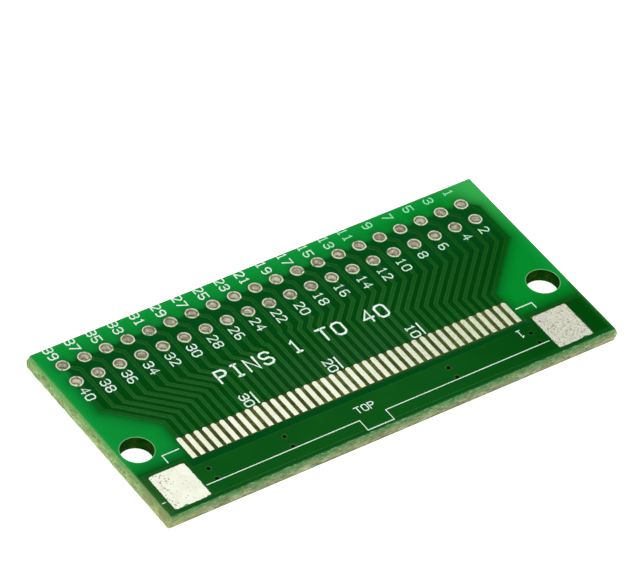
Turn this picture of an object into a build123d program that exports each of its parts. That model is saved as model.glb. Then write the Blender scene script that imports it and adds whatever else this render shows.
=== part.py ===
from build123d import *
import math
import os

# Adapter board that fans two rows of plated pin holes out to a row of flat-cable contact lands:
# lands at 1.0 mm pitch on the top face and lands at 0.5 mm pitch on the underside.
# Millimetres. The origin is in the middle of the outline, level with the lowest lands.
# +Z is up, +Y points to the pin holes and +X to pin 1.

# Panel
board_length = 53.4
board_width = 25.6
panel_thickness = 1.5
corner_radius = 0.3

# Copper. Foil is what lies under the coat, a land is foil with its plating and solder.
foil_thickness = 0.035
land_height = 0.06

# Pin holes. Pins 1, 3, 5 ... are in the row by the edge, pins 2, 4, 6 ... in the other row.
pin_count = 40
pin_pitch = 2.54
row_pitch = 2.54
pin_rows_centre_x = -0.45
odd_row_from_edge = 2.8
pin_bore_diameter = 1.0
pin_drill_diameter = 1.1
pin_land_diameter = 1.55

# Sides of the regular outline that stands for each small round one. Mounting holes are true circles.
bore_sides = 12
drill_sides = 8

# Contact lands on the top face
wide_pitch = 1.0
wide_land_width = 0.6
wide_land_length = 3.2
wide_centre_x = -0.7
wide_land_from_edge = 5.6

# Contact lands on the underside
fine_pitch = 0.5
fine_land_width = 0.3
fine_land_length = 2.0
fine_centre_x = -1.17
fine_land_from_edge = 5.2

# Tracks. On the way from the even row down to the lands they go straight down over the first share,
# then slant until the longest one has used the second share. The slants of one side are parallel.
wide_track_width = 0.5
wide_left_shares = (0.337, 0.537)
wide_right_shares = (0.407, 0.382)
fine_track_width = 0.25
fine_shares = (0.12, 0.835)

# Anchor pads for the side tabs of the connectors. Each stands clear of the last contact land.
wide_anchor_length = 4.3
wide_anchor_width = 5.1
wide_anchor_clear = 1.0
wide_anchor_from_edge = 0.55
fine_anchor_length = 2.0
fine_anchor_width = 2.5
fine_anchor_clear = 0.7
fine_anchor_from_edge = 1.4

# Ground strips
strip_from_edge = 0.45
strip_from_ends = 0.2
strip_width = 4.25
strip_beside_anchor = 0.4
strip_above_anchor = 0.5

# Vias in the ground strips: outer pairs in from the ends of the wide contact row,
# and inner pairs out from the ends of the fine one
via_bore_diameter = 0.35
via_drill_diameter = 0.45
outer_via_inset = 0.15
outer_via_shift = 0.14
inner_via_outset = 0.08
via_from_edge = 2.2
via_row_pitch = 1.5

# Mounting holes
mounting_bore_diameter = 3.5
mounting_from_ends = 2.25
mounting_from_edge = 9.3
mounting_shift = -0.13

panel_bottom = land_height
panel_top = panel_bottom + panel_thickness
overall_height = panel_top + land_height
cable_edge_y = -board_width / 2
odd_row_y = board_width / 2 - odd_row_from_edge
even_row_y = odd_row_y - row_pitch
wide_row_half = (pin_count - 1) * wide_pitch / 2
fine_row_half = (pin_count - 1) * fine_pitch / 2
pins = range(1, pin_count + 1)


def small_round(diameter, sides=bore_sides):
    """The outline of a small round hole or land, with its flats on the circle."""
    return RegularPolygon(diameter / 2, sides, major_radius=False)


def drilled_round(diameter):
    """The outline of a drilled hole in the laminate, which the copper inside it hides."""
    return small_round(diameter, drill_sides)


def layer(outline, side, height):
    """A flat layer on one face of the panel. Side is 1 on the top face and -1 on the underside."""
    surface = panel_top if side > 0 else panel_bottom
    return extrude(Pos(0, 0, surface) * outline, amount=height, dir=(0, 0, side))


def through(outline):
    """A cutter with this outline, through everything."""
    return extrude(outline, amount=overall_height)


def pin_place(pin):
    """The middle of a pin hole."""
    column = (pin - 1) // 2
    first_x = pin_rows_centre_x + (pin_count / 2 - 1) * pin_pitch / 2
    return first_x - column * pin_pitch, odd_row_y if pin % 2 else even_row_y


def contact_x(pin, centre_x, pitch):
    """The middle of a contact land."""
    return centre_x + ((pin_count + 1) / 2 - pin) * pitch


def via_places(centre_x, reach):
    """The middles of two pairs of vias, which stand this far to both sides of the centre."""
    rows = [cable_edge_y + via_from_edge + via_row_pitch * row for row in range(2)]
    return [(centre_x + end * reach, y) for end in (-1, 1) for y in rows]


def outer_vias():
    return via_places(wide_centre_x + outer_via_shift, wide_row_half - outer_via_inset)


def inner_vias():
    return via_places(fine_centre_x, fine_row_half + inner_via_outset)


def mounting_places():
    """The middles of the two mounting holes."""
    reach = board_length / 2 - mounting_from_ends
    return [(mounting_shift + end * reach, cable_edge_y + mounting_from_edge) for end in (-1, 1)]


def with_via_holes(outline):
    """An outline with the drilled holes of all the vias."""
    drilled = drilled_round(via_drill_diameter)
    return outline - [Pos(*place) * drilled for place in outer_vias() + inner_vias()]


def panel():
    """The laminate with every drilled hole."""
    blank = fillet(Rectangle(board_length, board_width).vertices(), corner_radius)
    blank -= [Pos(*place) * Circle(mounting_bore_diameter / 2) for place in mounting_places()]
    blank -= [Pos(*pin_place(pin)) * drilled_round(pin_drill_diameter) for pin in pins]
    blank = with_via_holes(blank)
    return extrude(Pos(0, 0, panel_bottom) * blank, amount=panel_thickness)


def plated_hole():
    """One pin hole: the barrel in the panel and a ring land on each face."""
    hole = extrude(Pos(0, 0, panel_bottom) * drilled_round(pin_drill_diameter), amount=panel_thickness)
    for side in (1, -1):
        hole += layer(small_round(pin_land_diameter), side, land_height)
    return hole - through(small_round(pin_bore_diameter))


def via_barrel():
    """One via: a plain tube, level with the foil of both ground strips."""
    ring = drilled_round(via_drill_diameter) - drilled_round(via_bore_diameter)
    length = panel_thickness + 2 * foil_thickness
    return extrude(Pos(0, 0, panel_bottom - foil_thickness) * ring, amount=length)


def track_x(pin):
    """The line on which a track leaves the pin rows. An odd one passes between two holes of the even row."""
    return pin_place(pin)[0] + (pin_pitch / 2 if pin % 2 else 0)


def fan_out(centre_x, pitch, land_top, left_shares, right_shares):
    """The middle lines of all the tracks of one face, by pin, from the holes down to the lands."""
    way = even_row_y - land_top
    runs = {pin: track_x(pin) - contact_x(pin, centre_x, pitch) for pin in pins}
    lines = {}
    for pin, run in runs.items():
        to_left = run > 0
        straight, slanted = left_shares if to_left else right_shares
        longest = max(runs.values()) if to_left else min(runs.values())
        x, land_x = track_x(pin), contact_x(pin, centre_x, pitch)
        bend_y = even_row_y - straight * way
        lines[pin] = [pin_place(pin)]
        if pin % 2:
            lines[pin].append((x, odd_row_y - pin_pitch / 2))
        lines[pin] += [(x, bend_y), (land_x, bend_y - slanted * way * run / longest), (land_x, land_top)]
    return lines


def track_outline(path, width):
    """A track of even width along its middle line, with mitred corners."""
    headings = [math.atan2(q[1] - p[1], q[0] - p[0]) for p, q in zip(path, path[1:])]
    before = [headings[0]] + headings
    after = headings + [headings[-1]]
    left, right = [], []
    for (x, y), start, end in zip(path, before, after):
        reach = width / 2 / math.cos((end - start) / 2)
        across = (start + end) / 2 + math.pi / 2
        left.append((x + reach * math.cos(across), y + reach * math.sin(across)))
        right.append((x - reach * math.cos(across), y - reach * math.sin(across)))
    return make_face(Polyline(*left, *reversed(right), close=True))


def tracks(side, first_pin, width, lines):
    """Every second track of one face, cut back to the ring lands that they start from."""
    group = []
    for pin in range(first_pin, pin_count + 1, 2):
        outline = track_outline(lines[pin], width) - Pos(*pin_place(pin)) * small_round(pin_land_diameter)
        group.append(layer(outline, side, foil_thickness))
    return group


def contact_row(side, centre_x, pitch, width, length, from_edge):
    """The row of contact lands of one face."""
    y = cable_edge_y + from_edge + length / 2
    land = Rectangle(width, length)
    return [layer(Pos(contact_x(pin, centre_x, pitch), y) * land, side, land_height) for pin in pins]


def anchor(end, first_x, length, width, from_edge):
    """The outline of one anchor pad. End is -1 on the left and 1 on the right."""
    return Pos(first_x + end * length / 2, cable_edge_y + from_edge + width / 2) * Rectangle(length, width)


def wide_anchor_inner_x(end):
    """The side of a top anchor pad that faces the contact row."""
    return wide_centre_x + end * (wide_row_half + wide_land_width / 2 + wide_anchor_clear)


def wide_anchor(end):
    inner_x = wide_anchor_inner_x(end)
    return anchor(end, inner_x, wide_anchor_length, wide_anchor_width, wide_anchor_from_edge)


def fine_anchor(end):
    inner_x = fine_centre_x + end * (fine_row_half + fine_land_width / 2 + fine_anchor_clear)
    return anchor(end, inner_x, fine_anchor_length, fine_anchor_width, fine_anchor_from_edge)


def strip_outline(inner_x, outer_x, top):
    """A rectangle that stands on the lower edge of the ground strips."""
    bottom = cable_edge_y + strip_from_edge
    return Pos((inner_x + outer_x) / 2, (bottom + top) / 2) * Rectangle(abs(outer_x - inner_x), top - bottom)


def ground_strip_band():
    """The plain band that both ground strips have, from one end of the board to the other."""
    end_x = board_length / 2 - strip_from_ends
    return strip_outline(-end_x, end_x, cable_edge_y + strip_from_edge + strip_width)


def top_ground_strip():
    """The ground strip of the top face: its band rises round both anchor pads."""
    outline = ground_strip_band()
    top = cable_edge_y + wide_anchor_from_edge + wide_anchor_width + strip_above_anchor
    for end in (-1, 1):
        inner_x = wide_anchor_inner_x(end) - end * strip_beside_anchor
        outline += strip_outline(inner_x, end * (board_length / 2 - strip_from_ends), top)
    outline -= [wide_anchor(end) for end in (-1, 1)]
    return layer(with_via_holes(outline), 1, foil_thickness)


def bottom_ground_strip():
    """The ground strip of the underside: a plain band round both anchor pads."""
    outline = ground_strip_band() - [fine_anchor(end) for end in (-1, 1)]
    return layer(with_via_holes(outline), -1, foil_thickness)


def build():
    """Every node, by name, as a list of its solids."""
    wide_top = cable_edge_y + wide_land_from_edge + wide_land_length
    fine_top = cable_edge_y + fine_land_from_edge + fine_land_length
    wide_lines = fan_out(wide_centre_x, wide_pitch, wide_top, wide_left_shares, wide_right_shares)
    fine_lines = fan_out(fine_centre_x, fine_pitch, fine_top, fine_shares, fine_shares)
    wide_land = (wide_land_width, wide_land_length, wide_land_from_edge)
    fine_land = (fine_land_width, fine_land_length, fine_land_from_edge)
    hole, via = plated_hole(), via_barrel()
    return {
        "laminate_panel": [panel()],
        "odd_row_plated_holes": [Pos(*pin_place(pin)) * hole for pin in pins if pin % 2],
        "even_row_plated_holes": [Pos(*pin_place(pin)) * hole for pin in pins if not pin % 2],
        "outer_via_barrels": [Pos(*place) * via for place in outer_vias()],
        "inner_via_barrels": [Pos(*place) * via for place in inner_vias()],
        "top_odd_tracks": tracks(1, 1, wide_track_width, wide_lines),
        "top_even_tracks": tracks(1, 2, wide_track_width, wide_lines),
        "bottom_odd_tracks": tracks(-1, 1, fine_track_width, fine_lines),
        "bottom_even_tracks": tracks(-1, 2, fine_track_width, fine_lines),
        "wide_pitch_contacts": contact_row(1, wide_centre_x, wide_pitch, *wide_land),
        "fine_pitch_contacts": contact_row(-1, fine_centre_x, fine_pitch, *fine_land),
        "top_left_anchor_pad": [layer(wide_anchor(-1), 1, land_height)],
        "top_right_anchor_pad": [layer(wide_anchor(1), 1, land_height)],
        "bottom_left_anchor_pad": [layer(fine_anchor(-1), -1, land_height)],
        "bottom_right_anchor_pad": [layer(fine_anchor(1), -1, land_height)],
        "top_ground_strip": [top_ground_strip()],
        "bottom_ground_strip": [bottom_ground_strip()],
    }


os.makedirs("parts", exist_ok=True)
for name, pieces in build().items():
    solids = [solid for piece in pieces for solid in piece.solids()]
    export_step(solids[0] if len(solids) == 1 else Compound(solids), f"parts/{name}.step")
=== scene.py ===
import math

import bpy
import numpy as np
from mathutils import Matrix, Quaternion, Vector, noise
from mathutils.geometry import delaunay_2d_cdt
from mathutils.kdtree import KDTree


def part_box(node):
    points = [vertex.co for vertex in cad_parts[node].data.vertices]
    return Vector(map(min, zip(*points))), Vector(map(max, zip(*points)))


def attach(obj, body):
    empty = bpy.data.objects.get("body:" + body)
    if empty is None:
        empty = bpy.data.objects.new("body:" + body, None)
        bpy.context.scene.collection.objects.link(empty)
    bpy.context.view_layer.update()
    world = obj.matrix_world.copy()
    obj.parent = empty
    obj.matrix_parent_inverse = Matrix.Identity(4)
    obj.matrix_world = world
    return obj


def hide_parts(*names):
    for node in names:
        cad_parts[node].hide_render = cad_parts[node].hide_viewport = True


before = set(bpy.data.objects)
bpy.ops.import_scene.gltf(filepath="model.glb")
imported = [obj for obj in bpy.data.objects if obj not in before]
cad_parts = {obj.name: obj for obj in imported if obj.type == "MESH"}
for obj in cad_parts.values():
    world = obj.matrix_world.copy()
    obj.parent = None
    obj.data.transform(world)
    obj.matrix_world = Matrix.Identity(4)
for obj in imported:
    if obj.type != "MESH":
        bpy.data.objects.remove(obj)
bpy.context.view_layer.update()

# The bare board of an adapter for flat cables. Sizes are in millimetres and become metres in add_piece.
# The places of the pieces are read from the frame.
mm = 0.001


def low_high(name):
    """The lowest and the highest corner of a node, in millimetres."""
    low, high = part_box(name)
    return Vector([value / mm for value in low]), Vector([value / mm for value in high])


def middle(name):
    low, high = low_high(name)
    return (low + high) / 2


panel_low, panel_high = low_high("laminate_panel")
half_length, half_width = panel_high.x, panel_high.y
panel_middle_z = (panel_high.z + panel_low.z) / 2
corner_radius = 0.12

# The sawn edges: their look starts this far in on the faces, and their walls lie this near the outline
chipped_rim, edge_zone = 0.15, 0.35

pin_count = 40
pin_pitch = 2.54
pins = range(1, pin_count + 1)
pin_rows_centre_x = middle("odd_row_plated_holes").x
odd_row_y = middle("odd_row_plated_holes").y
even_row_y = middle("even_row_plated_holes").y
pin_bore_radius = 0.5
pin_drill_radius = 0.55
ring_radius = 0.775
ring_window_radius = 0.785

# The contact row of each face: its node, its pitch and the width and length of a land
contact_rows = {1: ("wide_pitch_contacts", 1.0, (0.6, 3.2)), -1: ("fine_pitch_contacts", 0.5, (0.3, 2.0))}

# How far the coat runs in over the upper ends of the lands' gaps, and how far the solder stops short of a land
land_overlap = 0.12
solder_short_of_side, solder_short_of_end = 0.012, 0.055

via_bore_radius = 0.175
via_drill_radius = 0.225
mounting_radius = 1.75
mounting_places = ((-24.58, -3.5), (24.32, -3.5))
face_names = {1: "top", -1: "bottom"}

# How far the two short ends stand out at some levels: they were scored along both faces and snapped off
left_end_profile = ((0.06, 0.2, 0.9, 1.0, 1.56), (0.14, 0.27, 0.29, 0.23, 0.0))
right_end_profile = ((0.06, 0.5, 0.6, 1.0, 1.08, 1.56), (0.0, 0.2, 0.27, 0.29, 0.23, 0.0))

# The coat's levels over the laminate, from places on the copper to places beside it, for each face
land_height = 0.06
coat_heights = (0.050, 0.047, 0.041, 0.020)
coat_shoulders = {1: (-0.14, -0.08, -0.01, 0.05), -1: (-0.08, -0.04, 0.01, 0.05)}

# Bare places are wide enough to shine bright green from this far away from any metal. They are looked for on a
# lattice with this step, from the lower ends of the wide lands to the far edge.
open_from = 0.95
lattice_step, lattice_low_y = 0.15, -7.3

# The legend's ink: the level of its top, and the widths of its lines
ink_top = 0.062
bold, thin = 0.17, 0.115


# Meshes

def ripple(x, y, z):
    """Smooth noise about zero, the same in every run."""
    return noise.noise(Vector((x, y, z)))


def new_object(name, data):
    """A new object in the scene."""
    made = bpy.data.objects.new(name, data)
    bpy.context.scene.collection.objects.link(made)
    return made


def add_piece(name, points, faces, materials, replaces=(), smooth=True, face_materials=None, fields=None):
    """A new piece from points in millimetres. It rides on the board, and fields are values per point."""
    mesh = bpy.data.meshes.new(name)
    mesh.from_pydata((np.asarray(points, float) * mm).tolist(), [], faces)
    mesh.validate()
    for material in materials:
        mesh.materials.append(material)
    mesh.polygons.foreach_set("use_smooth", [smooth] * len(mesh.polygons))
    if face_materials is not None:
        mesh.polygons.foreach_set("material_index", face_materials)
    for field, values in (fields or {}).items():
        layer = mesh.attributes.new(field, "FLOAT", "POINT")
        layer.data.foreach_set("value", np.asarray(values, np.float32))
    mesh.update()
    piece = new_object(name, mesh)
    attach(piece, "root")
    if replaces:
        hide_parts(*replaces)


def surface_z(side, height):
    """The level this far outside one face of the laminate. Side is 1 on top and -1 on the underside."""
    return panel_high.z + height if side > 0 else panel_low.z - height


class Pile:
    """Points and faces of many like bodies, gathered for one piece."""

    def __init__(self):
        self.points = []
        self.faces = []

    def add(self, points, faces, flip=False):
        first = len(self.points)
        self.points += [tuple(point) for point in points]
        for face in faces:
            corners = [first + corner for corner in face]
            self.faces.append(corners[::-1] if flip else corners)


def ring_faces(sides, count):
    """The faces of a closed ring that goes round in this many sides, from sections with count points each."""
    faces = []
    for step in range(sides):
        here, there = step * count, (step + 1) % sides * count
        for index in range(count):
            after = (index + 1) % count
            faces.append((here + index, here + after, there + after, there + index))
    return faces


def circle(x, y, radius, sides):
    steps = [math.tau * step / sides for step in range(sides)]
    return [(x + radius * math.cos(a), y + radius * math.sin(a)) for a in steps]


def circles(places, radius, sides):
    return [circle(*place, radius, sides) for place in places]


def edges_of(ring):
    return zip(ring, ring[1:] + ring[:1])


def spots_along(outline, step, whole=math.ceil):
    """Points all along an outline, about this step apart. Whole turns a count of steps into a whole number."""
    spots = []
    for (x0, y0), (x1, y1) in edges_of(outline):
        count = max(1, whole(math.dist((x0, y0), (x1, y1)) / step))
        spots += [(x0 + (x1 - x0) * index / count, y0 + (y1 - y0) * index / count) for index in range(count)]
    return spots


def rectangle(low_x, low_y, high_x, high_y):
    return [(low_x, low_y), (high_x, low_y), (high_x, high_y), (low_x, high_y)]


def board_outline(inset, step, wander=0.0):
    """The board's outline with rounded corners, moved in, with a point every step. Wander roughens it."""
    radius, turns = corner_radius, 4
    half_x, half_y = half_length - inset, half_width - inset
    points = []
    for right, far, start in ((1, -1, -90), (1, 1, 0), (-1, 1, 90), (-1, -1, 180)):
        for turn in range(turns + 1):
            angle = math.radians(start + 90 * turn / turns)
            points.append((right * (half_x - radius) + radius * math.cos(angle),
                           far * (half_y - radius) + radius * math.sin(angle)))
    outline = []
    for x, y in spots_along(points, step, round):
        coarse, fine = (ripple(x * scale, y * scale, 3) for scale in (1.1, 3.7))
        rough = wander * max(0.0, 0.4 + coarse + 0.8 * fine) * (2.2 if y < -half_y + 0.1 else 1.0)
        outline.append((x * (1 - rough / half_length), y * (1 - rough / half_width)))
    return outline


# Copper, read from the frame

def copper_outlines(node, side):
    """The outlines of a node's outer faces, with the copper on the left of every edge."""
    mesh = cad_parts[node].data
    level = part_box(node)[1].z if side > 0 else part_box(node)[0].z
    edges = set()
    for face in mesh.polygons:
        corners = [mesh.vertices[index].co for index in face.vertices]
        if all(abs(corner.z - level) < 0.002 * mm for corner in corners):
            ring = [(round(corner.x / mm, 3), round(corner.y / mm, 3)) for corner in corners]
            edges.update(edges_of(ring[::side]))
    after = {start: end for start, end in sorted(edges) if (end, start) not in edges}
    outlines = []
    while after:
        start, point = after.popitem()
        outline = [start]
        while point != start:
            outline.append(point)
            point = after.pop(point)
        outlines.append(outline)
    return outlines


def offset(outline, distance):
    """The outline moved to its right, away from the copper, with mitred corners."""
    moved = []
    for before, here, after in zip(outline[-1:] + outline[:-1], outline, outline[1:] + outline[:1]):
        into = (Vector(here) - Vector(before)).normalized()
        out = (Vector(after) - Vector(here)).normalized()
        right = Vector((into.y + out.y, -into.x - out.x)).normalized()
        square = max(0.5, right.dot(Vector((out.y, -out.x))))
        moved.append(tuple(Vector(here) + right * distance / square))
    return moved


def distance_to(points, outlines):
    """How far each point lies outside the outlines, or inside them as a negative number."""
    start = np.array([point for outline in outlines for point in outline])
    end = np.array([point for outline in outlines for point in outline[1:] + outline[:1]])
    along = end - start
    length = (along * along).sum(1)
    result = []
    for part in np.array_split(points, len(points) // 400 + 1):
        to = part[:, None, :] - start
        share = np.clip((to * along).sum(2) / length, 0, 1)
        near = np.linalg.norm(to - share[..., None] * along, axis=2).min(1)
        y = part[:, 1:2]
        spans = (start[:, 1] > y) != (end[:, 1] > y)
        rise = np.where(along[:, 1] == 0, 1, along[:, 1])
        crossing = start[:, 0] + (y - start[:, 1]) / rise * along[:, 0]
        inside = (spans & (crossing > part[:, 0:1])).sum(1) % 2 == 1
        result.append(np.where(inside, -near, near))
    return np.concatenate(result)


def near_spots(points, spots):
    """How far each point is from the nearest of some spots."""
    tree = KDTree(len(spots))
    for index, (x, y) in enumerate(spots):
        tree.insert((x, y, 0), index)
    tree.balance()
    return np.array([tree.find((x, y, 0))[2] for x, y in points])


def near(points, outlines, step=0.08):
    """How far each point is from the nearest outline, to within a few hundredths."""
    return near_spots(points, [spot for outline in outlines for spot in spots_along(outline, step)])


# Flat sheets

def triangulate(outline, holes, guides=(), spacing=0.0, clear=0.0):
    """Triangles inside the outline and outside the holes, with edges along the guides.

    Loose points fill the open areas at this spacing, clear of all those edges."""
    rings = [outline] + list(holes) + list(guides)
    points, edges, areas = [], [], []
    for number, ring in enumerate(rings):
        first = len(points)
        points += [Vector(point) for point in ring]
        loop = list(range(first, first + len(ring)))
        if number > len(holes):
            edges += list(edges_of(loop))
        else:
            turn = sum(a[0] * b[1] - b[0] * a[1] for a, b in edges_of(ring))
            areas.append(loop if turn > 0 else loop[::-1])
    if spacing:
        xs = np.arange(-half_length, half_length, spacing)
        ys = np.arange(-half_width, half_width, spacing * 0.87)
        grid = np.array([(x + (row % 2) * spacing / 2, y) for row, y in enumerate(ys) for x in xs])
        points += [Vector(point) for point in grid[near(grid, rings) > clear]]
    made, _, faces, _, _, origins = delaunay_2d_cdt(points, edges, areas, 0, 1e-5)
    kept = [face for face, origin in zip(faces, origins) if list(origin) == [0]]
    used = sorted({corner for face in kept for corner in face})
    place = {corner: index for index, corner in enumerate(used)}
    flat = np.array([made[corner][:] for corner in used])
    return flat, [[place[corner] for corner in face] for face in kept]


def thicken(flat, faces, top_z, bottom_z, rows=1, push=None):
    """A closed body from a sheet of triangles: the sheet at its top and at its bottom, and walls between.

    Push gives how far a wall point moves outward, from its place."""
    count = len(flat)
    top = np.column_stack([flat, np.broadcast_to(top_z, count)])
    bottom = np.column_stack([flat, np.broadcast_to(bottom_z, count)])
    edges = {edge for face in faces for edge in edges_of(face)}
    rim = sorted((a, b) for a, b in edges if (b, a) not in edges)
    outward = np.zeros((count, 2))
    for a, b in rim:
        along = (flat[b] - flat[a]) / (np.linalg.norm(flat[b] - flat[a]) + 1e-12)
        outward[a] += (along[1], -along[0])
        outward[b] += (along[1], -along[0])
    outward /= np.maximum(np.linalg.norm(outward, axis=1), 1e-9)[:, None]
    points = [top, bottom]
    border = sorted({a for a, _ in rim})
    levels = [{index: index for index in border}]
    for row in range(1, rows):
        share = row / rows
        wall = top[border] * (1 - share) + bottom[border] * share
        if push:
            moves = np.array([push(*point) for point in wall])
            wall[:, :2] += outward[border] * moves[:, None]
        first = sum(map(len, points))
        points.append(wall)
        levels.append({index: first + order for order, index in enumerate(border)})
    levels.append({index: count + index for index in border})
    solid = [list(face) for face in faces] + [[count + corner for corner in face[::-1]] for face in faces]
    walls = [[upper[b], upper[a], lower[a], lower[b]] for upper, lower in zip(levels, levels[1:]) for a, b in rim]
    return np.concatenate(points), solid + walls, len(solid)


# Places of the lands

def pin_place(pin):
    x = pin_rows_centre_x + ((pin_count / 2 - 1) / 2 - (pin - 1) // 2) * pin_pitch
    return x, odd_row_y if pin % 2 else even_row_y


def land_places(side):
    """The middle of every land of a face's contact row, from pin 1 on."""
    node, pitch, _ = contact_rows[side]
    centre = middle(node)
    return [(centre.x + ((pin_count + 1) / 2 - pin) * pitch, centre.y) for pin in pins]


def land_outline(x, y, size, grow=0.0):
    """A contact land with one round end, which points to the pin holes."""
    half, length = size[0] / 2 + grow, size[1]
    top_y = y + length / 2 + grow - half
    arc = [math.pi * step / 8 for step in range(9)]
    top = [(x + half * math.cos(a), top_y + half * math.sin(a)) for a in arc]
    return top + [(x - half, y - length / 2), (x + half, y - length / 2)]


def via_places(*nodes):
    """The middles of the vias, two at each end of every node."""
    places = []
    for node in nodes or ("outer_via_barrels", "inner_via_barrels"):
        low, high = low_high(node)
        places += [(x, y) for x in (low.x + via_drill_radius, high.x - via_drill_radius)
                   for y in (low.y + via_drill_radius, high.y - via_drill_radius)]
    return places


# Materials

def linear(red, green, blue):
    """A colour given as it looks on a screen, from 0 to 255, as the shader wants it."""
    shares = [value / 255 for value in (red, green, blue)]
    return tuple(s / 12.92 if s <= 0.04045 else ((s + 0.055) / 1.055) ** 2.4 for s in shares) + (1.0,)


class Look:
    """A material's nodes, with a short call for each kind that is used here.

    A colour of three numbers is one as it looks on a screen, from 0 to 255."""

    def __init__(self, name, roughness, specular):
        self.material = bpy.data.materials.new(name)
        self.material.use_nodes = True
        self.tree = self.material.node_tree
        self.shader = self.tree.nodes["Principled BSDF"]
        self.set("Roughness", roughness)
        self.set("Specular IOR Level", specular)
        self.place = self.node("TexCoord", {}, "Object")

    def set(self, socket, value):
        self.join(value, self.shader.inputs[socket])

    def join(self, value, socket):
        if isinstance(value, bpy.types.NodeSocket):
            self.tree.links.new(value, socket)
        elif socket.type == "RGBA" and len(value) == 3:
            socket.default_value = linear(*value)
        else:
            socket.default_value = value

    def node(self, kind, inputs, output, **settings):
        """An output of a new node. Inputs are its sockets by name or number, with a value or what they join."""
        node = self.tree.nodes.new("ShaderNode" + kind)
        for setting, choice in settings.items():
            setattr(node, setting, choice)
        for socket, value in inputs.items():
            self.join(value, node.inputs[socket])
        return node.outputs[output]

    def noise(self, per_mm, detail=2.0, stretch=(1, 1, 1), distortion=0.0):
        """Cloudy noise with about this many spots for each millimetre."""
        place = self.node("Mapping", {"Vector": self.place, "Scale": stretch}, "Vector")
        inputs = {"Vector": place, "Scale": per_mm / mm, "Detail": detail, "Distortion": distortion}
        return self.node("TexNoise", inputs, "Fac")

    def field(self, name):
        return self.node("Attribute", {}, "Fac", attribute_name=name)

    def span(self, value, low, high, to_low=0.0, to_high=1.0):
        """A value's span brought to another span, and held there."""
        inputs = dict(enumerate((value, low, high, to_low, to_high)))
        return self.node("MapRange", inputs, "Result", interpolation_type="SMOOTHSTEP")

    def axis(self, name):
        """One of the coordinates, in metres."""
        return self.node("SeparateXYZ", {"Vector": self.place}, name)

    def along(self, name, low, high, to_low=0.0, to_high=1.0):
        """A coordinate's span, from one place to another in millimetres, brought to another span."""
        return self.span(self.axis(name), low * mm, high * mm, to_low, to_high)

    def math(self, operation, first, second):
        return self.node("Math", {0: first, 1: second}, "Value", operation=operation)

    def product(self, first, *others):
        for other in others:
            first = self.math("MULTIPLY", first, other)
        return first

    def mix(self, share, first, second):
        return self.node("Mix", {"Factor": share, "A": first, "B": second}, "Result", data_type="RGBA")

    def layers(self, colour, *others):
        """A colour with others laid over it in turn, each by its own share."""
        for share, other in others:
            colour = self.mix(share, colour, other)
        return colour

    def done(self, colour, height, depth_mm, strength):
        """The material with its colour, and with bumps of this depth."""
        self.set("Base Color", colour)
        inputs = {"Strength": strength, "Distance": depth_mm * mm, "Height": height}
        self.set("Normal", self.node("Bump", inputs, "Normal"))
        return self.material


def solder_mask_look():
    """Green coat: dark between the copper, olive on the outermost tracks, bright where no copper shades it."""
    look = Look("solder_mask_green", roughness=0.3, specular=0.05)
    cloud = look.noise(0.35, detail=3)
    fine = look.noise(6.0)
    shade = look.field("shade")
    near_pins = look.along("Y", 2.0, 7.0)
    on_strip = look.along("Y", -7.4, -6.8, 1.0, 0.0)
    rightward = look.along("X", 4, 25)
    # Painted sheen: the open coat turns lighter towards the far right-hand corner
    far_corner_sheen = look.product(look.along("X", 21.5, 27.5), look.along("Y", 2, 12.8))
    # Painted light: a paler, whiter patch over the middle of the tracks, on gaps and tracks alike
    middle_light_patch = look.product(look.along("X", -12, -5), look.along("X", 4, 12, 1.0, 0.0),
                        look.along("Y", -2.5, 1.5, 1.0, 0.0))
    slanted = look.product(look.along("Y", -3.0, -1.0), rightward)
    gap = look.layers(
        look.mix(cloud, (0, 60, 4), (2, 76, 18)),
        (middle_light_patch, (8, 67, 22)),
        (slanted, (0, 63, 12)),
        (near_pins, (0, 74, 23)),
        (on_strip, (0, 72, 22)),
        (shade, look.mix(rightward, (0, 76, 20), (0, 84, 12))))
    open_green = look.layers(
        look.mix(cloud, (6, 130, 46), (13, 144, 56)),
        (rightward, (2, 138, 43)),
        (look.field("margin_glow"), (10, 146, 56)),
        (far_corner_sheen, (60, 176, 82)))
    strip = look.layers(look.mix(cloud, (6, 76, 16), (16, 90, 26)), (rightward, (0, 70, 8)))
    track = look.layers(
        look.mix(cloud, (15, 79, 21), (29, 95, 35)),
        (slanted, (15, 80, 20)),
        (middle_light_patch, (32, 90, 38)),
        (near_pins, look.mix(rightward, (15, 80, 22), (11, 78, 21))),
        (shade, look.mix(rightward, (12, 84, 19), (5, 78, 13))),
        (on_strip, strip))
    # Painted highlights: pale lines along the rims of copper and vias where their slopes catch light, fainter in
    # shade and towards the right
    line = look.product(look.field("rim"), look.span(fine, 0.3, 0.7, 0.3, 0.75),
                        look.span(rightward, 0.0, 1.0, 1.0, 0.4))
    colour = look.layers(
        look.mix(look.field("glow"), gap, open_green),
        (look.field("copper"), track),
        (line, (54, 116, 54)),
        (look.field("end"), (20, 104, 38)),
        (look.field("brown"), (58, 92, 44)),
        (look.field("edge"), (70, 146, 66)),
        (look.field("lip"), (118, 186, 118)))
    return look.done(colour, fine, 0.004, 0.35)


def coated_copper_look():
    """Copper under the coat, where an end of it can be seen in a window."""
    look = Look("coated_copper_green", roughness=0.4, specular=0.2)
    cloud = look.noise(2.0, detail=3)
    return look.done(look.mix(cloud, (18, 78, 16), (32, 98, 30)), cloud, 0.003, 0.3)


def via_look():
    """The inside of a small via, painted near black as painted shade."""
    look = Look("via_bore_painted_shade", roughness=0.8, specular=0.02)
    spots = look.noise(9.0)
    return look.done(look.mix(spots, (2, 8, 0), (34, 40, 16)), spots, 0.004, 0.4)


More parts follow.
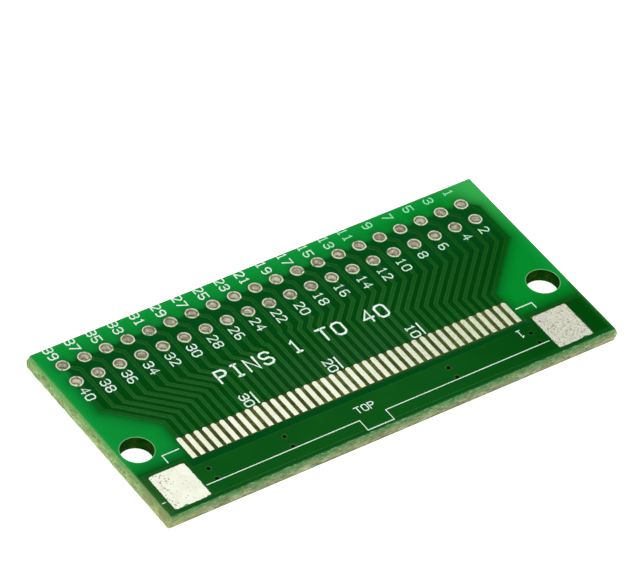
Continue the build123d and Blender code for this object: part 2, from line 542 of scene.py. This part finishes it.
def laminate_face_look():
    """Bare laminate in the windows of the coat: brown olive, with the weave of its glass cloth."""
    look = Look("bare_laminate", roughness=0.55, specular=0.2)
    weave = look.product(look.noise(2.4, stretch=(1, 0.12, 1)), look.noise(2.4, stretch=(0.12, 1, 1)))
    threads = look.span(weave, 0.15, 0.4)
    rightward = look.along("X", -11, -3)
    left, right = look.mix(threads, (50, 60, 12), (84, 92, 32)), look.mix(threads, (54, 72, 18), (92, 104, 40))
    return look.done(look.mix(rightward, left, right), weave, 0.006, 0.4)


def sawn_edge_look():
    """Sawn laminate: pale fibres in a yellow olive resin, greener under the top coat, darker at the bottom."""
    look = Look("sawn_laminate_edge", roughness=0.75, specular=0.2)
    fibres = look.noise(8.0, detail=4, stretch=(0.3, 0.3, 1.4), distortion=0.6)
    plies = look.noise(2.6, detail=4, stretch=(0.35, 0.35, 1.5), distortion=0.4)
    patches = look.noise(0.7, detail=3, stretch=(1, 1, 2))
    at_end = look.math("MAXIMUM", look.along("X", 26.45, 26.6), look.along("X", -26.6, -26.45, 1.0, 0.0))
    at_front = look.along("Y", -11, -5, 1.0, 0.0)
    resin = look.mix(at_end, (84, 106, 62), (92, 132, 68))
    pale = look.mix(look.span(patches, 0.35, 0.65), (178, 178, 134), (130, 144, 102))
    pale = look.mix(at_end, pale, (176, 200, 134))
    streaks = look.mix(0.4, look.span(fibres, 0.4, 0.6), look.span(plies, 0.42, 0.58))
    brown = look.product(at_front, look.span(patches, 0.38, 0.5, 0.0, 0.75))
    brown = look.product(at_end, look.math("MAXIMUM", brown, look.span(patches, 0.52, 0.66, 0.0, 0.5)))
    front_left = look.product(at_front, look.along("X", -26.4, -22, 0.5, 0.0),
                              look.along("Z", 0.3, 1.1, 1.0, 0.3))
    level = look.math("ADD", look.axis("Z"), look.span(plies, 0.35, 0.65, -0.3 * mm, 0.25 * mm))
    level = look.math("ADD", level, look.span(fibres, 0.35, 0.65, -0.12 * mm, 0.12 * mm))
    upper = look.span(level, look.span(at_end, 0.0, 1.0, 0.55 * mm, 0.95 * mm), 1.6 * mm)
    green = look.mix(look.span(fibres, 0.47, 0.62), (36, 108, 40), (104, 158, 106))
    end_green = look.mix(look.along("Y", -9, -2), (112, 140, 88), (86, 160, 86))
    colour = look.layers(
        look.mix(streaks, resin, pale),
        (brown, (128, 122, 94)),
        (front_left, (160, 172, 98)),
        (upper, look.mix(at_end, green, end_green)),
        (look.along("Z", 0.06, 0.17, 0.85, 0.0), (84, 86, 64)))
    return look.done(colour, fibres, 0.03, 0.7)


def hole_wall_look():
    """The wall of a mounting hole: dark olive laminate with the rings that a drill leaves."""
    look = Look("drilled_laminate_wall", roughness=0.8, specular=0.02)
    rings = look.noise(5.0, detail=3, stretch=(0.3, 0.3, 1.5))
    dark = look.mix(look.span(look.noise(0.9), 0.5, 0.72), (0, 50, 0), (44, 66, 0))
    return look.done(look.mix(look.span(rings, 0.4, 0.7, 0.0, 0.4), dark, (34, 84, 12)), rings, 0.02, 0.6)


def solder_look(name, light, dark, grey, speckle):
    """Levelled solder, pale and satin. It greys towards the right end of the board, with more speckles there."""
    look = Look(name, roughness=0.45, specular=0.4)
    cloud = look.noise(0.9, detail=3)
    grain = look.noise(7.5, detail=3, distortion=0.4)
    rightward = look.along("X", -6, 18)
    worn = look.noise(4.2, detail=5, distortion=0.8)
    spots = look.math("MAXIMUM", look.span(grain, 0.54, 0.66), look.span(worn, 0.5, 0.68, 0.0, 0.9))
    spots = look.product(spots, look.span(rightward, 0.0, 1.0, *speckle))
    swirl = look.span(look.noise(1.5, detail=3, distortion=0.8), 0.4, 0.6)
    from_middle = look.math("ABSOLUTE", look.math("SUBTRACT", look.axis("Z"), panel_middle_z * mm), 0.0)
    # Painted shade inside the barrel: dark bands just under each rim and round its middle
    barrel_shade_bands = look.math("MAXIMUM", look.span(from_middle, 0.5 * mm, 0.66 * mm),
                      look.span(from_middle, 0.02 * mm, 0.16 * mm, 1.0, 0.0))
    # The inside of a hole is mottled, and painted darker than the ring as painted shade
    inside = look.mix(swirl, (184, 178, 152), (246, 246, 224))
    inside = look.mix(look.product(barrel_shade_bands, 0.75), inside, (94, 94, 68))
    colour = look.layers(
        look.mix(look.span(cloud, 0.35, 0.65), light, dark),
        (rightward, grey),
        (spots, (132, 124, 112)),
        (look.field("depth"), inside),
        (look.field("pit"), (96, 88, 78)),
        (look.field("shore"), (116, 166, 104)))
    look.set("Roughness", look.span(grain, 0.3, 0.7, 0.37, 0.59))
    return look.done(colour, grain, 0.008, 0.4)


def legend_look():
    """White ink, a little thin in places, and greener towards the far right-hand corner."""
    look = Look("legend_ink_white", roughness=0.5, specular=0.3)
    grain = look.noise(5.0, detail=3)
    thin = look.span(look.noise(0.8), 0.35, 0.65)
    at_far_right = look.product(look.along("X", 0, 15), look.along("Y", 2, 11))
    white = look.mix(at_far_right, look.mix(thin, (246, 255, 250), (222, 246, 230)), (150, 236, 180))
    worn = look.mix(0.15, white, (120, 180, 130))
    return look.done(look.mix(look.span(grain, 0.3, 0.6), worn, white), grain, 0.006, 0.5)


mask_green = solder_mask_look()
covered_copper = coated_copper_look()
via_shade = via_look()
bare_laminate = laminate_face_look()
sawn_edge = sawn_edge_look()
hole_wall = hole_wall_look()
ring_solder = solder_look("ring_solder", (255, 255, 240), (238, 244, 216), (250, 252, 230), (0.15, 0.15))
land_solder = solder_look("land_solder", (248, 252, 232), (240, 243, 219), (219, 229, 199), (0.08, 0.5))
anchor_solder = solder_look("anchor_solder", (252, 254, 237), (242, 244, 224), (219, 221, 202), (0.1, 0.75))
white_ink = legend_look()


# Pieces

def make_panel():
    """The laminate: flat faces with every drilled hole, and rough sawn edges."""
    drilled = circles(mounting_places, mounting_radius, 72) + circles(map(pin_place, pins), pin_drill_radius, 20)
    drilled += circles(via_places(), via_drill_radius, 12)
    flat, faces = triangulate(board_outline(inset=0, step=0.12), drilled, [board_outline(chipped_rim, step=0.3)])
    to_edge = -distance_to(flat, [board_outline(inset=0, step=1.0)])

    def push(x, y, z):
        if abs(x) < half_length - edge_zone and abs(y) < half_width - edge_zone:
            return 0.004 * ripple(x * 4, y * 4, z * 9)
        coarse = ripple(x * 2.6, y * 2.6, z * 5)
        fine = ripple(x * 9, y * 9, z * 14)
        rough = 0.018 * coarse + 0.012 * fine
        at_end = abs(x) > half_length - corner_radius / 2
        bulge = np.interp(z, *(right_end_profile if x > 0 else left_end_profile)) if at_end else 0.0
        bulge *= min(1.0, (half_width - abs(y)) / corner_radius + (0.75 if x < 0 < y else 0.3))
        return bulge + rough * (1 + 1.5 * (bulge > 0.2)) if bulge > 0.02 else min(0.0, rough - 0.014)

    points, solid, flat_count = thicken(flat, faces, panel_high.z, panel_low.z, rows=15, push=push)
    materials = [bare_laminate, sawn_edge, hole_wall]
    chosen = [sawn_edge if max(to_edge[corner % len(flat)] for corner in face) < chipped_rim + 0.01 else bare_laminate
              for face in solid[:flat_count]]
    for face in solid[flat_count:]:
        x, y, _ = points[face[0]]
        at_edge = abs(x) > half_length - edge_zone or abs(y) > half_width - edge_zone
        chosen.append(sawn_edge if at_edge else hole_wall)
    add_piece("glass_epoxy_panel", points, solid, materials, ["laminate_panel"], smooth=False,
              face_materials=[materials.index(material) for material in chosen])


def coat_windows(side):
    """The windows of the coat on one face: those round the pin holes, over the vias, and over the lands."""
    over_rings = circles(map(pin_place, pins), ring_window_radius, 32)
    over_vias = circles(via_places(), via_bore_radius + 0.03, 16)
    node, _, size = contact_rows[side]
    over_lands = [land_outline(*place, size, grow=0.03) for place in land_places(side)]
    low, high = low_high(node)
    over_lands.append(rectangle(low.x, low.y - 0.05, high.x, high.y - land_overlap))
    for anchor in anchors(side):
        low, high = low_high(anchor)
        over_lands.append(rectangle(low.x, low.y, high.x, high.y))
    return over_rings, over_vias, over_lands


def anchors(side):
    return [f"{face_names[side]}_{end}_anchor_pad" for end in ("left", "right")]


def make_coat(side):
    """The solder mask of one face, raised over the copper under it, with a window for each bare land."""
    face = face_names[side]
    kinds = ("ground_strip", "odd_tracks", "even_tracks")
    strip, odd, even = (copper_outlines(f"{face}_{kind}", side) for kind in kinds)
    copper = strip + odd + even
    rings = circles(map(pin_place, pins), ring_radius, 24)
    shoulders = coat_shoulders[side]
    over_rings, over_vias, over_lands = coat_windows(side)
    mounting = circles(mounting_places, mounting_radius - 0.02, 72)
    outline = board_outline(inset=0.02, step=0.12, wander=0.045)

    # Edges along each place where the height or the colour turns
    guides = [offset(ring, shift) for ring in copper for shift in shoulders]
    guides += [board_outline(inset, step=0.3) for inset in (0.14, 0.32, 0.55)]
    guides += [circle(*place, mounting_radius + reach, 72) for place in mounting_places for reach in (0.035, 0.1)]
    guides += circles(map(pin_place, pins), ring_window_radius + 0.05, 32)
    guides += [circle(*place, via_bore_radius + reach, 16) for place in via_places() for reach in (0.09, 0.15)]
    holes = over_rings + over_vias + over_lands + mounting
    flat, faces = triangulate(outline, holes, guides, spacing=0.4, clear=0.16)
    x, y = flat.T

    to_copper, to_strip = distance_to(flat, copper), distance_to(flat, strip)
    to_window = distance_to(flat, over_rings + over_vias)
    to_hole, to_via = distance_to(flat, mounting), near(flat, over_vias)
    to_edge = -distance_to(flat, [board_outline(inset=0, step=1.0)])
    to_metal = np.minimum(np.minimum(to_copper, near(flat, over_lands)), near(flat, rings) + 0.3)
    lattice = np.array([(column, row) for column in np.arange(-half_length, half_length, lattice_step)
                        for row in np.arange(lattice_low_y, half_width, lattice_step)])
    to_open = near_spots(flat, lattice[near(lattice, copper + rings + over_lands) > open_from])

    height = np.interp(to_copper, shoulders, coat_heights)
    height *= np.interp(to_window, [0.0, 0.05], [0.75, 1.0])
    height *= np.interp(np.minimum(to_hole, to_edge - 0.02), [0.0, 0.1], [0.35, 1.0])

    # Shares for the colour, most of them painted light: a painted glow, bright away from metal, painted shade near
    # open places,
    #  painted highlights as pale lines along rims of copper and vias, and brown at the left end and under the wide
    #  lands
    glow = np.interp(to_metal, [0.0, 0.1, 0.25, 0.4, 0.7, 1.0, 1.6], [0.15, 0.35, 0.5, 0.6, 0.77, 0.9, 1.0])
    glow *= np.interp(to_open, [open_from + 0.1, open_from + 0.4], [1.0, 0.0])
    glow *= np.interp(y, [-7.0, -4.4], [0.5, 1.0])
    shade = np.interp(to_open, [open_from, open_from + 1.0], [0.9, 0.0])
    edge_glow = np.interp(to_edge, [0.0, 0.4], [0.4, 0.0]) * np.interp(to_copper, [0.45, 0.8], [0.0, 1.0])
    glow = np.maximum(glow, edge_glow)
    # Painted highlight: a pale ring round each via
    via_rim_highlight = np.interp(to_via, [0.02, 0.06, 0.12], [0.0, 0.9, 0.0])
    on_block = (to_strip < 0.1) * (y > -8.0)
    rim = np.interp(to_copper, shoulders[:3], [0.0, 1.0, 0.0]) * (1 - 0.6 * shade) * (1 - on_block)
    brown = np.interp(half_length + x, [0.1, 0.55, 0.9], [0.6, 0.5, 0.0]) * (y < -6.8)
    under_lands = np.interp(y, [-7.55, -7.4, -7.24], [0.0, 0.35, 0.45]) * (y < -7.2)
    under_lands = under_lands * (np.abs(x + 0.2) < 19.9) * (side > 0)
    fields = {
        "copper": np.interp(to_copper, shoulders[1:3], [1.0, 0.0]),
        "rim": np.maximum(rim, via_rim_highlight),
        "lip": np.interp(to_hole, [0.0, 0.045, 0.115], [1.0, 0.7, 0.0]),
        "glow": glow,
        "shade": shade,
        # Painted glow: the coat turns lighter right at the board's edge, a little less so at the front
        "edge": np.interp(to_edge, [0.0, 0.22], [0.5, 0.0]) * np.interp(y, [-12.5, -12.2], [0.7, 1.0]),
        # Painted glow: the open coat is brighter within about a millimetre of the board's edge
        "margin_glow": np.interp(to_edge, [0.3, 1.4], [1.0, 0.0]) * glow,
        "end": np.interp(half_length - x, [0.1, 0.32, 0.6], [0.8, 0.55, 0.0]) * (y < -5),
        "brown": np.maximum(brown, under_lands),
    }
    points, solid, _ = thicken(flat, faces, surface_z(side, height), surface_z(side, 0.0))
    if side < 0:
        solid = [corners[::-1] for corners in solid]
    fields = {name: np.concatenate([values, values]) for name, values in fields.items()}
    add_piece(f"{face}_solder_mask", points, solid, [mask_green], smooth=False, fields=fields)


# Half of a plated hole's section as radius and rise over the laminate, from the drilled wall over the land
hole_section = ((pin_drill_radius, -0.02), (ring_radius - 0.055, 0), (ring_radius - 0.05, 0.018),
                (ring_radius - 0.075, 0.044), (ring_radius - 0.1, 0.058), (0.635, land_height), (0.59, 0.052),
                (0.55, 0.02), (0.512, -0.04), (pin_bore_radius, -0.14), (pin_bore_radius, -0.4))


def make_plated_holes(node, name, first_pin, track_angle):
    """The tinned barrels and ring lands of one row, each a little uneven, with a nub where its track leaves."""
    half = [(radius, panel_high.z + rise) for radius, rise in hole_section]
    section = half + [(pin_bore_radius, panel_middle_z)]
    section += [(radius, 2 * panel_middle_z - z) for radius, z in reversed(half)]
    depth, shore = [], []
    sides = 48
    nub_height, nub_half_angle = 0.085, 0.26
    flat_part = 0.78
    pile = Pile()
    for pin in range(first_pin, pin_count + 1, 2):
        x, y = pin_place(pin)
        points = []
        for step in range(sides):
            angle = math.tau * step / sides
            cos, sin = math.cos(angle), math.sin(angle)
            turn = math.remainder(angle - math.radians(track_angle), math.tau)
            spread = 0.018 * ripple(cos * 1.3, sin * 1.3, pin * 3.1)
            spread += nub_height * math.exp(-((turn / nub_half_angle) ** 4))
            notch = max(0.0, ripple(cos * 1.9, sin * 1.9, pin * 5.3) - 0.2)
            for radius, z in section:
                # Shares for the colour: inside the hole and on the ring's inner slope, painted darker there as
                # painted shade, and greenish along the coat
                depth.append(np.interp(radius, [0.57 + notch * 0.3, 0.64 + notch * 0.5], [1.0, 0.0]))
                shore.append(np.interp(radius, [0.66, 0.7], [0.0, 0.65]))
                out = max(0.0, (radius - 0.6) / (ring_radius - 0.6))
                wave = 0.02 * ripple(x + radius * cos * 3, y + radius * sin * 3, z)
                r = radius + spread * out + (wave if radius < 0.52 else 0.0) * 0.5
                lump = 0.006 * ripple(x + cos * 2, y + sin * 2, 7.7)
                from_middle = z - panel_middle_z
                level = z + (lump if abs(from_middle) > flat_part else 0.0) * math.copysign(1, from_middle)
                level = min(max(level, panel_low.z - land_height), panel_high.z + land_height)
                points.append((x + r * cos, y + r * sin, level))
        pile.add(points, ring_faces(sides, len(section)))
    add_piece(name, pile.points, pile.faces, [ring_solder], [node],
              fields={"depth": depth, "shore": shore})


def make_vias(node, name):
    """Small plain tubes through the panel, level with the foil."""
    low, high = low_high(node)
    pile = Pile()
    sides = 24
    section = [(via_drill_radius, high.z), (via_bore_radius, high.z),
               (via_bore_radius, low.z), (via_drill_radius, low.z)]
    for x, y in via_places(node):
        points = [(*circle(x, y, radius, sides)[step], z) for step in range(sides) for radius, z in section]
        pile.add(points, ring_faces(sides, len(section)))
    add_piece(name, pile.points, pile.faces, [via_shade], [node], smooth=False)


def pillow(across, along, place, height, side):
    """A closed low mound on one face: a grid of points that meets the laminate all round.

    Place gives x and y from two shares from -1 to 1, and height gives the mound's height there."""
    points, index = [], {}
    for layer in (0, 1):
        for row in range(along + 1):
            for column in range(across + 1):
                u, v = 2 * column / across - 1, 2 * row / along - 1
                border = row in (0, along) or column in (0, across)
                if layer and border:
                    index[layer, row, column] = index[0, row, column]
                    continue
                x, y = place(u, v)
                h = height(x, y, u, v) if layer else 0.0
                index[layer, row, column] = len(points)
                points.append((x, y, surface_z(side, h)))
    faces = []
    for row in range(along):
        for column in range(across):
            quad = [(row, column), (row, column + 1), (row + 1, column + 1), (row + 1, column)]
            faces.append([index[1, r, c] for r, c in quad])
            faces.append([index[0, r, c] for r, c in reversed(quad)])
    return points, [face if side > 0 else face[::-1] for face in faces]


def squeeze(share, power=0.6):
    """Moves evenly spaced shares from -1 to 1 towards the two ends, where a mound turns down."""
    return math.copysign(1 - (1 - abs(share)) ** (1 / power), share)


def make_contacts(name, side, across, along):
    """A row of contact lands, each a long low mound of solder with a round end towards the pin holes."""
    pile = Pile()
    node, _, size = contact_rows[side]
    half, half_long = size[0] / 2 - solder_short_of_side, size[1] / 2 - solder_short_of_end
    for number, (x, y) in enumerate(land_places(side)):

        def place(u, v):
            v_place = squeeze(v)
            from_end = half_long * (1 - v_place)
            width = half if from_end > half else math.sqrt(max(0.0, half ** 2 - (half - from_end) ** 2))
            wobble = 0.012 * ripple(x * 3, (y + v * 3) * 3, number)
            return x + squeeze(u) * max(width, 0.02) + wobble, y + v_place * half_long

        def height(px, py, u, v):
            crown = (1 - abs(squeeze(u)) ** 8) ** 0.5 * (1 - abs(squeeze(v)) ** 40) ** 0.5
            lumps = 0.006 * ripple(px * 3.0, py * 1.6, number * 0.7)
            return min(land_height, 0.052 * crown + lumps * crown + 0.004)

        pile.add(*pillow(across, along, place, height, side))
    add_piece(name, pile.points, pile.faces, [land_solder], [node])


def make_anchor(node, side):
    """An anchor pad: levelled solder with small lumps and pits and slightly bumpy edges."""
    low, high = low_high(node)
    centre, half = (low + high) / 2, (high - low) / 2
    seed, shore_width, cell = centre.x, 0.12, 0.06

    def pit_at(x, y):
        """How deep a pit is here, from 0 to 1. The left pad has most of them in its left part."""
        spot = ripple(x * 5.6, y * 5.6, seed + 9)
        least = 0.36 if x < centre.x - 0.2 and (y > centre.y - 0.5 or x < low.x + 0.8) else 0.6
        return 0.8 * min(1.0, max(0.0, spot - least) / 0.1)

    def place(u, v):
        x, y = centre.x + squeeze(u, 0.9) * half.x, centre.y + squeeze(v, 0.9) * half.y
        ragged = 0.05 * ripple(x * 2.8, y * 2.8, seed) + 0.03 * ripple(x * 6, y * 6, seed) - 0.03
        bite = 0.3 * max(0.0, ripple(x * 1.9, seed, 1.3) - 0.12) if v < 0 else 0.0
        x, y = x + ragged * u ** 9, y + (ragged - bite) * v ** 9
        corner = 0.13 * abs(u * v) ** 12
        return x - corner * u, y - corner * v

    def height(x, y, u, v):
        to_side, to_end = (1 - abs(squeeze(u, 0.9))) * half.x, (1 - abs(squeeze(v, 0.9))) * half.y
        shore = min(1.0, to_side / shore_width, to_end / shore_width)
        lumps = ripple(x * 1.1, y * 1.1, seed) * 0.008
        grain = ripple(x * 5.5, y * 5.5, seed + 4) * 0.007
        depth = 0.018 * pit_at(x, y)
        return max(0.004, min(land_height, (0.046 + lumps + grain - depth) * math.sin(shore * math.pi / 2)))

    across, along = round(2 * half.x / cell), round(2 * half.y / cell)
    points, faces = pillow(across, along, place, height, side)
    fields = {"pit": [pit_at(x, y) for x, y, _ in points]}
    name = node.replace("anchor_pad", "soldered_anchor")
    add_piece(name, points, faces, [anchor_solder], [node], fields=fields)


# Legend. Each glyph has strokes on a grid four steps wide and six high, written as columns and rows.
glyphs = {
    "0": "01 05 16 36 45 41 30 10 01",
    "1": "15 26 20, 10 30",
    "2": "05 16 36 45 44 00 40",
    "3": "05 16 36 45 44 33 42 41 30 10 01, 33 13",
    "4": "30 36 02 42",
    "5": "46 06 03 33 42 41 30 10 01",
    "6": "36 16 05 01 10 30 41 42 33 13 02",
    "7": "06 46 10",
    "8": "13 04 05 16 36 45 44 33 13 02 01 10 30 41 42 33",
    "9": "10 30 41 45 36 16 05 04 13 33 44",
    "I": "20 26, 10 30, 16 36",
    "N": "00 06 40 46",
    "O": "01 05 16 36 45 41 30 10 01",
    "P": "00 06 36 45 44 33 03",
    "S": "45 36 16 05 04 13 33 42 41 30 10 01",
    "T": "20 26, 06 46",
    " ": "",
}


def ink_line(pile, path, width, side):
    """A drawn line of ink, rounded across and at both ends. It fills the hollows of the coat below it."""
    across = [(-1.0, 0.008), (-1.0, 0.03), (-0.86, ink_top - 0.006), (-0.5, ink_top), (0.5, ink_top),
              (0.86, ink_top - 0.006), (1.0, 0.03), (1.0, 0.008)]
    path = [Vector(point) for point in path]
    headings = [(b - a).normalized() for a, b in zip(path, path[1:])]
    caps = [math.radians(angle) for angle in (84, 60, 30)]
    rows = [(path[0] - headings[0] * width / 2 * math.sin(a), headings[0], math.cos(a)) for a in caps]
    for point, into, out in zip(path, headings[:1] + headings, headings + headings[-1:]):
        bisector = (into + out).normalized()
        rows.append((point, bisector, 1 / max(0.62, bisector.dot(out))))
    rows += [(path[-1] + headings[-1] * width / 2 * math.sin(a), headings[-1], math.cos(a)) for a in reversed(caps)]
    points = []
    for point, heading, scale in rows:
        left = Vector((-heading.y, heading.x))
        ragged = 1 + 0.16 * ripple(point.x * 3.3, point.y * 3.3, 1.5)
        for share, height in across:
            spot = point + left * share * scale * ragged * width / 2
            points.append((spot.x, spot.y, surface_z(side, height)))
    count = len(across)
    faces = []
    for row in range(len(rows) - 1):
        for index in range(count):
            after = (index + 1) % count
            here, there = row * count, (row + 1) * count
            faces.append((here + index, there + index, there + after, here + after))
    faces.append(list(range(count)))
    faces.append(list(range((len(rows) - 1) * count, len(rows) * count))[::-1])
    pile.add(points, faces, flip=side > 0)


def cut_off(path, limit_y):
    """The parts of a path that stay below this y, as paths of their own."""
    runs, run = [], []
    for start, end in zip(path, path[1:]):
        if (start.y > limit_y) != (end.y > limit_y):
            crossing = start.lerp(end, (limit_y - start.y) / (end.y - start.y))
            if start.y > limit_y:
                run = [crossing, end]
            else:
                runs.append((run or [start]) + [crossing])
                run = []
        elif start.y <= limit_y:
            run = (run or [start]) + [end]
    return runs + [run] if run else runs


def write(pile, text, start, height, advance, width, side, reading=(1, 0), slim=0.667):
    """Text as strokes. Start is the lower left corner of its first glyph, and reading is its direction.

    Slim is a glyph's width as a share of its height."""
    along = Vector(reading)
    up = Vector((-along.y, along.x)) * side
    for number, letter in enumerate(text):
        for stroke in glyphs[letter].split(","):
            spots = [(int(spot[0]) / 4 * slim * height + number * advance, int(spot[1]) / 6 * height)
                     for spot in stroke.split()]
            path = [Vector(start) + along * a + up * b for a, b in spots]
            for run in cut_off(path, half_width - 0.12):
                if (run[0] - run[-1]).length > 0.05 or len(run) > 2:
                    ink_line(pile, run, width, side)


# How far some labels of the top face stand off their row, as x and y. The underside's pins count as negative.
label_shifts = {4: (0.4, 0.0), 11: (-0.2, 0.0), 12: (0.1, -0.15), 14: (0.15, -0.15), 20: (0.1, -0.25),
                21: (-0.2, -0.15), 40: (0.15, 0.0)}


def pin_labels(pile, side):
    """The number of every pin, read from the side, with its glyphs' tops towards pin 1."""
    height, advance, width, slim = 0.99, 1.0, 0.145, 0.68
    glyph_width = height * slim
    for pin in pins:
        x, _ = pin_place(pin)
        text = str(pin)
        if pin % 2:
            end_y = odd_row_y + (1.16 if len(text) > 1 else 1.7)
            start_y = end_y + advance * (len(text) - 1) + glyph_width
        else:
            start_y = even_row_y - (1.23 if len(text) > 1 else 1.46)
        off_x, off_y = label_shifts.get(side * pin, (0, 0))
        start = (x - 0.17 - side * height / 2 + off_x, start_y + off_y)
        write(pile, text, start, height, advance, width, side, (0, -1), slim)


def make_top_legend():
    """White ink of the top face: pin numbers, contact numbers with ticks, outline marks and plain words."""
    side = 1
    pile = Pile()
    pin_labels(pile, side)
    lands = land_places(side)
    for number in (10, 20, 30):
        tick_x = lands[number - 1][0] - 0.29
        ink_line(pile, [(tick_x, -2.25), (tick_x, -3.9)], bold, side)
        write(pile, str(number), (tick_x - 1.42, -2.2), 0.95, 0.98, 0.165, side, (0, -1), 0.74)
    write(pile, "PINS 1 TO 40", (-12.2, 0.12), 1.68, 1.74, 0.26, side)
    ink_line(pile, [(-20.98, -5.4), (-22.92, -5.4), (-22.92, -6.5)], thin, side)
    ink_line(pile, [(19.5, -5.5), (21.46, -5.5), (21.46, -6.3)], thin, side)
    line_y, notch_y = -10.9, -12.4
    ink_line(pile, [(-26.45, line_y), (-26.1, line_y)], thin, side)
    outline = [(-21.3, line_y), (-3.32, line_y), (-3.32, notch_y), (-0.2, notch_y), (-0.2, line_y), (19.75, line_y)]
    ink_line(pile, outline, thin, side)
    write(pile, "TOP", (-2.9, -10.05), 0.85, 0.8, 0.13, side)
    write(pile, "1", (18.1, -8.2), 1.05, 0.8, 0.14, side, reading=(-1, 0))
    add_piece("top_legend", pile.points, pile.faces, [white_ink], smooth=False)


def make_bottom_legend():
    """White ink of the underside: pin numbers and the outline of the finer connector."""
    side = -1
    pile = Pile()
    pin_labels(pile, side)
    node = contact_rows[side][0]
    low, high = low_high(node)
    for x in (low.x - 1.2, high.x + 1.2):
        inner = x + math.copysign(0.9, middle(node).x - x)
        ink_line(pile, [(inner, high.y + 0.5), (x, high.y + 0.5), (x, high.y - 0.6)], bold, side)
    ink_line(pile, [(low.x + 0.5, -12.1), (high.x - 0.5, -12.1)], bold, side)
    add_piece("bottom_legend", pile.points, pile.faces, [white_ink], smooth=False)


make_panel()
for side in (1, -1):
    make_coat(side)
make_plated_holes("odd_row_plated_holes", "odd_row_tinned_holes", 1, -45)
make_plated_holes("even_row_plated_holes", "even_row_tinned_holes", 2, -90)
make_vias("outer_via_barrels", "outer_via_tubes")
make_vias("inner_via_barrels", "inner_via_tubes")
make_contacts("wide_contact_lands", 1, 10, 44)
make_contacts("fine_contact_lands", -1, 8, 28)
for side in (1, -1):
    for node in anchors(side):
        make_anchor(node, side)
make_top_legend()
make_bottom_legend()

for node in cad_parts.values():
    node.data.materials.clear()
    node.data.materials.append(covered_copper)


# Stage, lights and camera

def make_floor():
    """A plain white floor under the board. It shines a little, as a lit product table does."""
    look = Look("floor_white", roughness=0.9, specular=0.0)
    look.set("Base Color", (0.92, 0.92, 0.92, 1.0))
    look.set("Emission Color", (1.0, 1.0, 1.0, 1.0))
    look.set("Emission Strength", 0.6)
    mesh = bpy.data.meshes.new("floor")
    reach_m, below_mm = 3.0, 0.02
    corners = rectangle(-reach_m, -reach_m, reach_m, reach_m)
    mesh.from_pydata([(x, y, 0) for x, y in corners], [], [(0, 1, 2, 3)])
    mesh.materials.append(look.material)
    floor = new_object("floor", mesh)
    floor.location.z = -below_mm * mm


def add_light(name, place, power, size):
    """A square soft light that faces the board. Its place and size are in metres."""
    light = bpy.data.lights.new(name, "AREA")
    light.energy = power
    light.size = size
    lamp = new_object(name, light)
    lamp.location = place
    lamp.rotation_mode = "QUATERNION"
    lamp.rotation_quaternion = (-Vector(place)).to_track_quat("-Z", "Y")


def make_lights():
    add_light("overhead_softbox", (-0.1, -0.15, 1.2), 12.3, 0.9)
    add_light("front_softbox", (-0.75, -0.9, 0.7), 7.4, 0.8)
    world = bpy.data.worlds.new("studio")
    world.use_nodes = True
    background = world.node_tree.nodes["Background"].inputs
    background["Color"].default_value = (1, 1, 1, 1)
    background["Strength"].default_value = 0.11
    bpy.context.scene.world = world


def make_camera():
    """The photograph's view: a long lens that looks down on the board from its near left."""
    aim = Vector((3.455, 5.995, 1.62)) * mm
    distance = 587.5 * mm
    heading, elevation, roll = math.radians(38.61), math.radians(43.10), math.radians(6.42)
    focal_pixels, image_width = 5857, 640
    forward = Vector((math.sin(heading) * math.cos(elevation), math.cos(heading) * math.cos(elevation),
                      -math.sin(elevation)))
    data = bpy.data.cameras.new("camera")
    data.sensor_width = 36
    data.lens = focal_pixels / image_width * data.sensor_width
    data.clip_start, data.clip_end = 0.01, 20
    camera = new_object("camera", data)
    camera.location = aim - forward * distance
    camera.rotation_mode = "QUATERNION"
    camera.rotation_quaternion = forward.to_track_quat("-Z", "Y") @ Quaternion((0, 0, 1), roll)
    bpy.context.scene.camera = camera


make_floor()
make_lights()
make_camera()
bpy.context.scene.view_settings.view_transform = "Standard"

bpy.context.view_layer.update()
